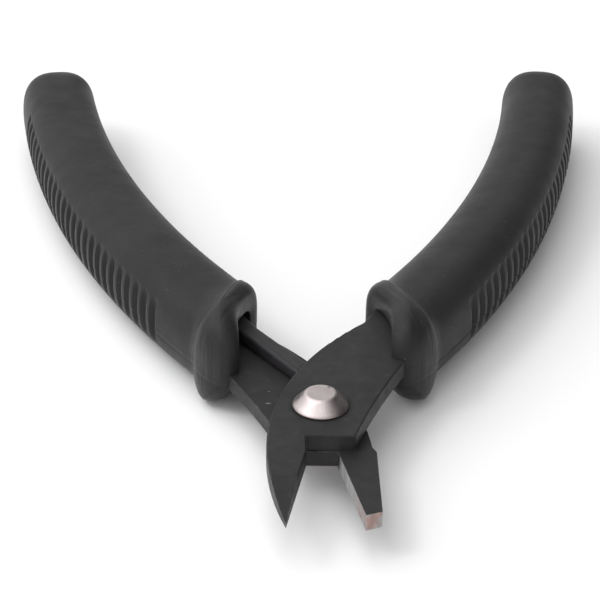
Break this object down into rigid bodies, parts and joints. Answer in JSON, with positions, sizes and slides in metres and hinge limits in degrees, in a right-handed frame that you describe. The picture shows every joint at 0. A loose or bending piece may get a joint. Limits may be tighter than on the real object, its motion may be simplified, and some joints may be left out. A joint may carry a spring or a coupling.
{
  "type": "flush cutter",
  "caption": "By-pass micro cutter: crossed stamped blades on a rivet, a bar return spring, and two curved soft grips with guard collars.",
  "frame": {"origin": "centre of the flat on the rivet's back head, on the pivot axis", "axes": "+Z along the pivot axis towards the rivet's coned head, +Y along the tool's middle line towards the grips, +X to the right grip, which belongs to the upper plate"},
  "size_m": [0.0894, 0.1248, 0.0142],
  "materials": {
    "blackened_steel": "black oxide, satin, with ground cutting faces",
    "spring_steel": "black oxide, satin",
    "plated_steel": "satin nickel",
    "grip_rubber": "matte"
  },
  "bodies": {
    "lower": {"lower_blade_lever": "blackened_steel", "left_grip": "grip_rubber", "pivot_rivet": "plated_steel", "return_spring": "spring_steel"},
    "upper": {"upper_blade_lever": "blackened_steel", "right_grip": "grip_rubber"}
  },
  "joints": [
    {"name": "pivot", "type": "hinge", "parent": "lower", "child": "upper", "pos_m": [0, 0, 0.00362], "axis": [0, 0, 1], "range_deg": [0, 25], "stiffness_Nm_per_rad": 0.87, "springref_deg": -8.59, "deforming": ["return_spring"]}
  ]
}
